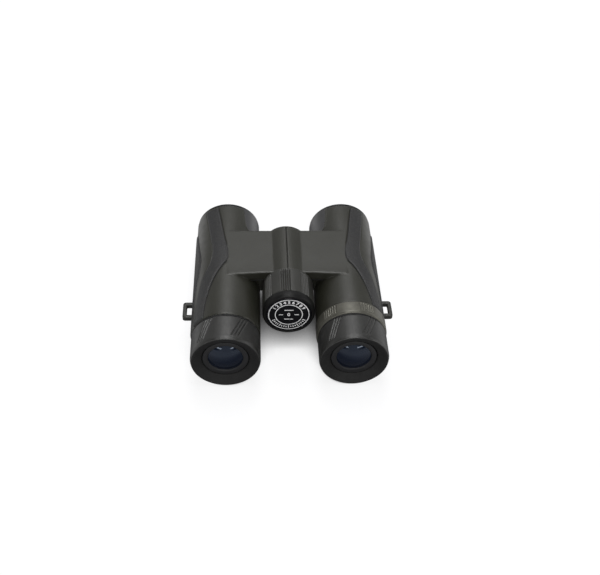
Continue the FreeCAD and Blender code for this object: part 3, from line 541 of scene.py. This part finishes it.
def armour_distance(side):
    """Distance to one barrel's armour, in the right barrel's place."""
    pads = pads_of(side)
    rear = ARMOUR_REAR[side]
    lug_low, lug_high = box_mm("right_strap_lug")
    lug_room = 0.05

    def distance(x, y, z):
        u, w = x - BARREL_X, z - BARREL_Z
        r = np.hypot(u, w)
        angle = np.degrees(np.arctan2(u, w))
        wrapped = np.where(angle < -100, angle + 360, angle)
        sunk = 0                # 1 in the pockets under the pads
        for pad in pads:
            place = wrapped if pad.name == "lower_pad" else angle
            sunk = np.maximum(sunk, np.clip(pad.inside(place, y) / POCKET_SLOPE + 1, 0, 1))
        bead = np.exp(-((recess_distance(x, y, z) - BEAD_PLACE) / BEAD_WIDTH) ** 2)
        tube = blend_max(r - ARMOUR_R - BEAD * bead + POCKET * sunk, rear - y, EDGE)
        tube = blend_max(tube, y - ARMOUR_FRONT, FRONT_EDGE)
        hinge_r = np.hypot(x, z - HINGE_Z)
        sleeve = blend_max(hinge_r - SLEEVE_R, BRIDGE_REAR - y, EDGE)
        sleeve = blend_max(sleeve, y - BRIDGE_FRONT, EDGE)
        bridge = blend_min(bridge_distance(x, y, z, 0, EDGE), sleeve, 0.5)
        whole = np.minimum(tube, bridge)
        low_split = x * math.sin(SLEEVE_LOW_EDGE) - (z - HINGE_Z) * math.cos(SLEEVE_LOW_EDGE)
        whole = blend_max(whole, np.maximum(SLEEVE_SPLIT - x, low_split), SPLIT_EDGE)
        whole = np.maximum(whole, SLEEVE_INNER_R - hinge_r)    # room for the hinge
        whole = blend_max(whole, -recess_distance(x, y, z), OPENING_EDGE)
        chassis = np.minimum(r - TUBE_R, bridge_distance(x, y, z, BRIDGE_SKIN, 0.2))
        whole = np.maximum(whole, -chassis)                    # room for the chassis
        lug = np.maximum(np.abs(y - (lug_low[1] + lug_high[1]) / 2) - (lug_high[1] - lug_low[1]) / 2,
                         np.abs(z - (lug_low[2] + lug_high[2]) / 2) - (lug_high[2] - lug_low[2]) / 2)
        lug = np.maximum(lug, lug_low[0] - x) - lug_room
        return np.maximum(whole, -lug)

    return distance


def armour_piece(side):
    """Rubber armour over one barrel, its half of the bridge and its half sleeve."""
    step = 0.45
    low = (-0.5, ARMOUR_REAR[side] - 1, -0.5)
    high = (BARREL_X + ARMOUR_R + 1, ARMOUR_FRONT + 1, HINGE_Z + SLEEVE_R + 1)
    points, faces = carve(armour_distance(side), low, high, step)
    points[:, 0] *= SIDES[side]
    mesh_piece(f"{side}_armour_skin", points, faces, f"{side}_barrel", "smooth_armour", [f"{side}_armour"])


def strap_loop(side):
    """Strap lug: a rounded bar bent into a loop."""
    low, high = box_mm("right_strap_lug")
    middle = (low + high) / 2
    half = (high - low) / 2
    bar = 2.4
    corner, slot_edge, flat_edge = 1.8, 0.8, 0.9    # roundings
    slot_start = BARREL_X + ARMOUR_R - 0.6

    def distance(x, y, z):
        root = BARREL_X + TUBE_R
        outer = blend_max(x - high[0], np.abs(y - middle[1]) - half[1], corner)
        slot = blend_max(x - (high[0] - bar), np.abs(y - middle[1]) - (half[1] - bar), slot_edge)
        slot = np.maximum(slot, slot_start - x)
        loop = blend_max(outer, -slot, slot_edge)
        loop = blend_max(loop, np.abs(z - middle[2]) - half[2], flat_edge)
        return np.maximum(loop, root - np.hypot(x - BARREL_X, z - BARREL_Z) - BARREL_X)

    points, faces = carve(distance, low - 1, high + 1, 0.22)
    points[:, 0] *= SIDES[side]
    name = f"{side}_strap_lug"
    mesh_piece(f"{name}_loop", points, faces, f"{side}_barrel", "lug_plastic", [name])


# ---- eyepieces -------------------------------------------------------------------------------
def grooves(angle, places, width):
    """Sum of narrow grooves at angles on a ring, each as wide as a number of degrees."""
    total = 0
    for place in places:
        away = (angle - place + 180) % 360 - 180
        total = total + np.exp(-(away / width) ** 2)
    return total


def group_angles(first, groups, in_group, pitch):
    """Angles of groups of marks that repeat round a ring."""
    middle = (in_group - 1) / 2
    return [first + 360 / groups * g + pitch * (i - middle) for g in range(groups) for i in range(in_group)]


def eyecup(side):
    """Soft eyecup with slanted grooves in its skirt, and a hollow, sloping face."""
    low, high = box_mm(f"{side}_eyecup_rubber")
    rim, back = low[1], high[1]
    outline = [
        (13.5, rim + 3.0), (17.4, rim + 0.7), (18.6, rim), (19.4, rim), (ARMOUR_R, rim + 1.6),
        (ARMOUR_R, back), (17.75, back), (17.75, -53.3), (13.5, -53.9),
    ]
    outline = refined(rounded(outline, 0.7), 0.45)
    marks = group_angles(34, 6, 3, 5.5)
    depth, width = 0.5, 1.0     # of a groove, in millimetres and in degrees
    lean = 1.2                  # of a groove, in degrees round the cup for each millimetre along it

    def relief(angle, y, radius):
        on_skirt = smooth_step(radius, ARMOUR_R - 0.6, ARMOUR_R - 0.1)
        along = smooth_step(y, rim + 2.6, rim + 4.2)
        return -depth * on_skirt * along * grooves(angle - (y - back) * lean, marks, width)

    cup = lathe(f"{side}_eyecup_soft", BARRELS[side], outline, f"{side}_cup", "eyecup_rubber",
                [f"{side}_eyecup_rubber"], columns=540, relief=relief)
    cup.data.materials.append(PAINTS["eyecup_face"])
    for face in cup.data.polygons:
        x, y, z = face.center / MM
        if math.dist((x, z), BARRELS[side]) < EYECUP_FACE_R and y < back - 1:
            face.material_index = 1


def eyepiece_nose(side):
    """Fixed eyepiece tube: flange behind the eyecup, guide barrel, and the flat ring round the lens."""
    front = box_mm(f"{side}_eyepiece_tube")[0][1]
    outline = [
        (9.9, front + 0.5), (10.5, front), (13.0, front), (13.0, -53.6), (15.0, -53.6), (15.0, -52.9),
        (14.3, -52.9), (14.3, -52.2), (15.0, -52.2), (15.0, -41.3), (19.6, -41.3), (19.6, -40.5),
        (17.7, -40.5), (17.7, -39.0), (11.0, -39.0), (11.0, -55.9), (9.9, -55.9),
    ]
    lathe(f"{side}_eyepiece_nose", BARRELS[side], rounded(outline, 0.3), f"{side}_barrel",
          "eyepiece_plastic", [f"{side}_eyepiece_tube"])


def eye_lens_dome(side):
    """Domed eye lens that fills the hole of the eyepiece's nose."""
    edge_r, edge_y, bulge, thickness = 9.85, -55.95, 3.0, 1.2
    curve_r = (edge_r ** 2 + bulge ** 2) / (2 * bulge)
    tilt = np.linspace(math.asin(edge_r / curve_r), 0, 24)
    dome = [(curve_r * math.sin(t), edge_y - bulge + curve_r * (1 - math.cos(t))) for t in tilt]
    outline = np.array([(0.0, edge_y + thickness), (edge_r, edge_y + thickness)] + dome)
    lathe(f"{side}_eye_lens_dome", BARRELS[side], outline, f"{side}_barrel", "coated_glass",
          [f"{side}_eye_lens"])


def dioptre_ring():
    """Satin ring on the right barrel, with groups of fine ribs."""
    low, high = box_mm("dioptre_ring")
    rear, front = low[1], high[1]
    inner_r = TUBE_R + 0.06
    outline = [(inner_r, rear), (PAD_R - 0.7, rear), (PAD_R, rear + 1.1), (PAD_R, front), (inner_r, front)]
    groups = (22.9, 82.3, 141.7, 201.1, 260.5, -40.2)
    marks = [middle + 4.3 * (i - 2.5) for middle in groups for i in range(6)]
    depth, width = 0.45, 1.1    # of a groove, in millimetres and in degrees

    def relief(angle, y, radius):
        on_face = smooth_step(radius, PAD_R - 0.7, PAD_R - 0.3)
        along = smooth_step(y, rear + 1.5, rear + 2.1) * smooth_step(-y, -front + 0.6, -front + 1.2)
        return -depth * on_face * along * grooves(angle, marks, width)

    lathe("dioptre_grip_ring", BARRELS["right"], refined(rounded(outline, 0.5), 0.4), "dioptre",
          "dioptre_metal", ["dioptre_ring"], columns=720, relief=relief)


def objective_rim(side):
    """Black rim round the objective, with a conical inner wall and two fine steps."""
    front = box_mm(f"{side}_objective_ring")[1][1]
    outline = [
        (16.3, 52.9), (17.7, 52.9), (17.7, ARMOUR_FRONT), (19.7, ARMOUR_FRONT), (19.7, front),
        (18.2, front), (17.6, front - 1.2), (17.1, front - 1.2), (16.8, front - 2.6),
        (16.5, front - 2.6), (16.3, front - 4.0),
    ]
    lathe(f"{side}_objective_rim", BARRELS[side], rounded(outline, 0.3), f"{side}_barrel", "black_anodised",
          [f"{side}_objective_ring"])


# ---- hinge and focusing knob -----------------------------------------------------------------
def knob():
    """Focusing knob: ribbed rubber ring, smooth rear band, dial plate with printed rings."""
    front, seam = box_mm("knob_grip")[1][1], box_mm("knob_grip")[0][1]
    rear, plate_back = box_mm("knob_core")[0][1], box_mm("knob_cap")[1][1]
    plate_face = box_mm("knob_cap")[0][1]
    grip = [(13.8, front), (KNOB_R, front), (KNOB_R, seam + 0.12), (13.8, seam + 0.12)]
    marks = group_angles(-6.6, 8, 5, 4.8)
    depth, width = 0.5, 1.15    # of a groove, in millimetres and in degrees

    def relief(angle, y, radius):
        on_face = smooth_step(radius, KNOB_R - 0.7, KNOB_R - 0.2)
        along = smooth_step(-y, -front + 0.8, -front + 1.6)
        return -depth * on_face * along * grooves(angle, marks, width)

    lathe("knob_grip_ribbed", HINGE, refined(rounded(grip, 0.5), 0.5), "focus_knob", "knob_rubber",
          ["knob_grip"], columns=720, relief=relief)
    body = [
        (3.4, plate_back), (3.4, -27.6), (1.8, -27.6), (1.8, -24.4), (5.06, -24.4), (5.06, -9.0),
        (8.0, -9.0), (8.0, -22.5), (11.8, -22.5), (11.8, -7.2), (13.8, -7.2), (13.8, seam + 0.1),
        (14.6, seam + 0.1), (14.6, seam), (KNOB_R, seam), (KNOB_R, -29.4), (14.7, rear),
        (13.45, rear), (13.45, plate_back),
    ]
    lathe("knob_body", HINGE, rounded(body, 0.45), "focus_knob", "knob_plastic", ["knob_core"])
    plate = [
        (0.02, plate_face), (13.02, plate_face), (13.37, plate_face + 0.3), (13.37, plate_back),
        (0.02, plate_back),
    ]
    lathe("dial_plate", HINGE, np.array(plate), "focus_knob", "dial_plate", ["knob_cap"])
    dial_print(plate_face)


def dial_print(face):
    """Printed rings, a generic distance scale and a line scale on the dial plate."""
    half_width = 0.25
    for name, radius in (("outer", 11.8), ("inner", 7.9)):
        inner, outer = radius - half_width, radius + half_width
        low, high = face - PRINT, face + PRINT
        ring = np.array([(inner, low), (outer, low), (outer, high), (inner, high)])
        lathe(f"dial_ring_{name}", HINGE, ring, "focus_knob", "dial_plate", paint="dial_print")
    first_number, number_pitch = -58, 14.5    # degrees from the top of the dial
    first_tick, tick_pitch = 116, 8
    for value in range(1, 10):
        dial_digit(f"{value}", SCALE_R, first_number + number_pitch * (value - 1), 3.0, face - PRINT)
    dial_digit("0", 0.0, 0.0, 3.4, face - PRINT)
    for i in range(17):
        half = 0.6 if i % 4 else 1.05
        dial_bar(f"dial_tick_{i}", SCALE_R, first_tick + tick_pitch * i, half, 0.27, face)
    for way in (-1, 1):
        dial_bar(f"dial_mark_{way + 1}", 4.6, 90 * way, 1.3, 0.28, face)
        dial_bar(f"dial_line_{way + 1}", 3.6, 90 - 90 * way, 0.28, 2.6, face)


def dial_place(radius, angle, face):
    """Where a mark goes on the dial, turned so that it stands on the ring; angle from the top."""
    turn = Matrix.Rotation(math.radians(angle), 4, "Y") @ Matrix.Rotation(math.radians(90), 4, "X")
    reach = Vector((math.sin(math.radians(angle)) * radius, 0, math.cos(math.radians(angle)) * radius))
    spot = (Vector((0, face, HINGE_Z)) + reach) * MM
    return Matrix.Translation(spot) @ turn


def dial_digit(text, radius, angle, size, face):
    """One printed number."""
    curve = bpy.data.curves.new(f"digit_{text}_{int(radius)}", "FONT")
    curve.body = text
    curve.align_x, curve.align_y = "CENTER", "CENTER"
    curve.size = size * MM
    curve.resolution_u = 5          # with finer curves the fill of some digits comes out with holes
    curve.offset = 0.1 * MM
    curve.extrude = 0.02 * MM
    shape = bpy.data.objects.new("dial_digit_shape", curve)
    bpy.context.scene.collection.objects.link(shape)
    bpy.context.view_layer.update()
    mesh = bpy.data.meshes.new_from_object(shape)
    bpy.data.objects.remove(shape)
    mesh.transform(dial_place(radius, angle, face))
    mesh.materials.clear()
    mesh.materials.append(PAINTS["dial_print"])
    digit = bpy.data.objects.new(f"dial_number_{text}_{int(radius)}", mesh)
    bpy.context.scene.collection.objects.link(digit)
    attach(digit, "focus_knob")


def dial_bar(name, radius, angle, half_height, half_width, face):
    """One printed bar; its height lies along the radius, and its width across."""
    corners = [(x, y, z) for z in (-PRINT, PRINT) for y in (-half_height, half_height)
               for x in (-half_width, half_width)]
    place = dial_place(radius, angle, face)
    points = [np.array(place @ (Vector(corner) * MM)) / MM for corner in corners]
    faces = [(0, 2, 3, 1), (4, 5, 7, 6), (0, 1, 5, 4), (2, 6, 7, 3), (0, 4, 6, 2), (1, 3, 7, 5)]
    mesh_piece(name, points, faces, "focus_knob", "dial_plate", paint="dial_print", smooth=False)


def front_cap():
    """Cover at the front of the hinge, with a hole for the tripod screw."""
    front = box_mm("hinge_front_cap")[1][1]
    outline = [
        (4.4, front), (4.4, 33.6), (5.3, 33.6), (5.3, 31.8), (7.5, 31.8), (7.5, 32.9), (13.6, 32.9),
        (13.6, 33.7), (12.8, front), (9.8, front), (9.5, front - 0.3), (9.0, front - 0.3), (8.7, front),
    ]
    lathe("hinge_cap", HINGE, rounded(outline, 0.25), "right_barrel", "lug_plastic", ["hinge_front_cap"])


# ---- scene, in metres ------------------------------------------------------------------------
MIDDLE = Vector((0, 0, 0.03))
LIGHTS = {                  # place, size, power
    "softbox": ((0.0, 0.15, 0.9), (0.4, 1.1), 6.5),
    "right_side": ((0.9, 0.0, 0.30), (0.5, 0.8), 2.2),
    "left_side": ((-0.9, 0.1, 0.25), (0.4, 0.8), 0.9),
    "front_key": ((0.0, -0.95, 0.9), (0.4, 0.3), 6.5),
    "front_left": ((-0.62, -1.0, 0.22), (0.7, 0.08), 2.0),
    "front_right": ((0.62, -1.0, 0.22), (0.7, 0.08), 2.0),
}
FLOOR_HALF = 6.0
FLOOR_COLOUR = (0.16, 0.16, 0.165)
CAMERA_PLACE = Vector((-20.0, -390.1, 392.5)) * MM
CAMERA_TURN = (-4.11, 43.44, 2.47)    # azimuth, elevation and roll, in degrees
CAMERA_LENS = 52.71                   # focal length in millimetres, on a sensor 36 mm wide


def soft_light(name, place, size, power):
    """Rectangular soft light that looks at the middle of the object."""
    lamp = bpy.data.lights.new(name, "AREA")
    lamp.shape = "RECTANGLE"
    lamp.size, lamp.size_y = size
    lamp.energy = power
    light = bpy.data.objects.new(name, lamp)
    bpy.context.scene.collection.objects.link(light)
    light.location = place
    light.rotation_euler = (MIDDLE - light.location).to_track_quat("-Z", "Y").to_euler()


def math_node(nodes, links, operation, first, second):
    """Result of a calculation on two values; each is a node's output or a number."""
    node = nodes.new("ShaderNodeMath")
    node.operation = operation
    for socket, value in zip(node.inputs, (first, second)):
        if isinstance(value, (int, float)):
            socket.default_value = value
        else:
            links.new(value, socket)
    return node.outputs[0]


def between(nodes, links, value, low, high, first, second):
    """Value mapped from low..high to first..second."""
    node = nodes.new("ShaderNodeMapRange")
    node.inputs["From Min"].default_value = low
    node.inputs["From Max"].default_value = high
    node.inputs["To Min"].default_value = first
    node.inputs["To Max"].default_value = second
    links.new(value, node.inputs["Value"])
    return node.outputs["Result"]


def seen_strength(nodes, links, direct, mirrored):
    """Strength of a glow: direct where the camera looks at it, mirrored in reflections, else none."""
    path = nodes.new("ShaderNodeLightPath").outputs
    to_camera = math_node(nodes, links, "MULTIPLY", path["Is Camera Ray"], direct)
    to_mirror = math_node(nodes, links, "MULTIPLY", path["Is Glossy Ray"], mirrored)
    return math_node(nodes, links, "ADD", to_camera, to_mirror)


def light_the_scene():
    """Lamps and surroundings: brighter beyond the objectives, and white wherever the camera sees them.

    A bright patch behind the user shows only in reflections, such as those in the eye lenses.
    """
    world = bpy.data.worlds.new("surroundings")
    bpy.context.scene.world = world
    world.use_nodes = True
    nodes, links = world.node_tree.nodes, world.node_tree.links
    apart = nodes.new("ShaderNodeSeparateXYZ")
    links.new(nodes.new("ShaderNodeTexCoord").outputs["Generated"], apart.inputs[0])
    ahead = apart.outputs["Y"]          # 1 beyond the objectives, and -1 behind the user
    surroundings = between(nodes, links, ahead, 0.1, 0.8, 0.02, 0.5)
    behind_user = between(nodes, links, ahead, -0.85, -0.95, 0.0, 1.0)
    seen = seen_strength(nodes, links, 1.0, behind_user)
    total = math_node(nodes, links, "ADD", surroundings, seen)
    links.new(total, nodes["Background"].inputs["Strength"])
    nodes["Background"].inputs["Color"].default_value = (1.0, 1.0, 1.0, 1.0)
    for name, (place, size, power) in LIGHTS.items():
        soft_light(name, place, size, power)


def pale_floor_with_painted_shadow():
    """Large pale floor that the object stands on.

    Its glow, which only the camera and reflections see, makes it white. A painted contact shadow fades it in the
    shelter deep under the object, painted shade dims it nearer the object, and its reflections are painted dark
    near the object.
    """
    mesh = bpy.data.meshes.new("floor")
    corners = [(x * FLOOR_HALF, y * FLOOR_HALF, 0) for x, y in ((-1, -1), (1, -1), (1, 1), (-1, 1))]
    mesh.from_pydata(corners, [], [(0, 1, 2, 3)])
    paint = Paint("floor", 0.6, specular=0.2)
    nodes, links = paint.nodes, paint.links
    paint.colour(FLOOR_COLOUR)
    paint.shader.inputs["Emission Color"].default_value = (1.0, 1.0, 1.0, 1.0)
    # Painted contact shadow: ambient occlusion fades the floor's glow where the object shelters it.
    shelter = nodes.new("ShaderNodeAmbientOcclusion")
    shelter.inputs["Distance"].default_value = 0.1
    shelter.samples = 64
    painted_shadow_mask = between(nodes, links, shelter.outputs["AO"], 0.05, 0.32, 0.0, 1.0)
    length = nodes.new("ShaderNodeVectorMath")
    length.operation = "LENGTH"
    links.new(paint.place, length.inputs[0])
    away = length.outputs["Value"]      # distance from the object's middle, in metres
    # Painted shade: the glow the camera sees is dimmer near the object. Painted dark reflection: reflections see
    # no glow within about 0.1 m of the object's middle.
    direct = between(nodes, links, away, 0.25, 1.0, 0.83, 1.1)
    mirrored = between(nodes, links, away, 0.085, 0.13, 0.0, 0.8)
    seen = seen_strength(nodes, links, direct, mirrored)
    glow = math_node(nodes, links, "MULTIPLY", painted_shadow_mask, seen)
    links.new(glow, paint.shader.inputs["Emission Strength"])
    mesh.materials.append(paint.material)
    floor = bpy.data.objects.new("floor", mesh)
    bpy.context.scene.collection.objects.link(floor)


def camera():
    """Camera on the user's side, looking down over the eyepieces."""
    azimuth, elevation, roll = (math.radians(angle) for angle in CAMERA_TURN)
    level = math.cos(elevation)
    back = Vector((math.sin(azimuth) * level, -math.cos(azimuth) * level, math.sin(elevation)))
    flat_right = Vector((math.cos(azimuth), math.sin(azimuth), 0))
    flat_up = back.cross(flat_right)
    right = flat_right * math.cos(roll) + flat_up * math.sin(roll)
    up = flat_up * math.cos(roll) - flat_right * math.sin(roll)
    data = bpy.data.cameras.new("camera")
    data.sensor_width = 36.0
    data.lens = CAMERA_LENS
    data.clip_start = 0.01
    view = bpy.data.objects.new("camera", data)
    turn = Matrix((right, up, back)).transposed()
    view.matrix_world = Matrix.Translation(CAMERA_PLACE) @ turn.to_4x4()
    bpy.context.scene.collection.objects.link(view)
    bpy.context.scene.camera = view


camera()
paint_cad_nodes()
for side_name in SIDES:
    armour_piece(side_name)
    for pad_of_side in pads_of(side_name):
        pad_piece(side_name, pad_of_side)
    strap_loop(side_name)
    eyecup(side_name)
    eyepiece_nose(side_name)
    eye_lens_dome(side_name)
    objective_rim(side_name)
dioptre_ring()
knob()
front_cap()
pale_floor_with_painted_shadow()
light_the_scene()
bpy.context.scene.view_settings.view_transform = "Standard"
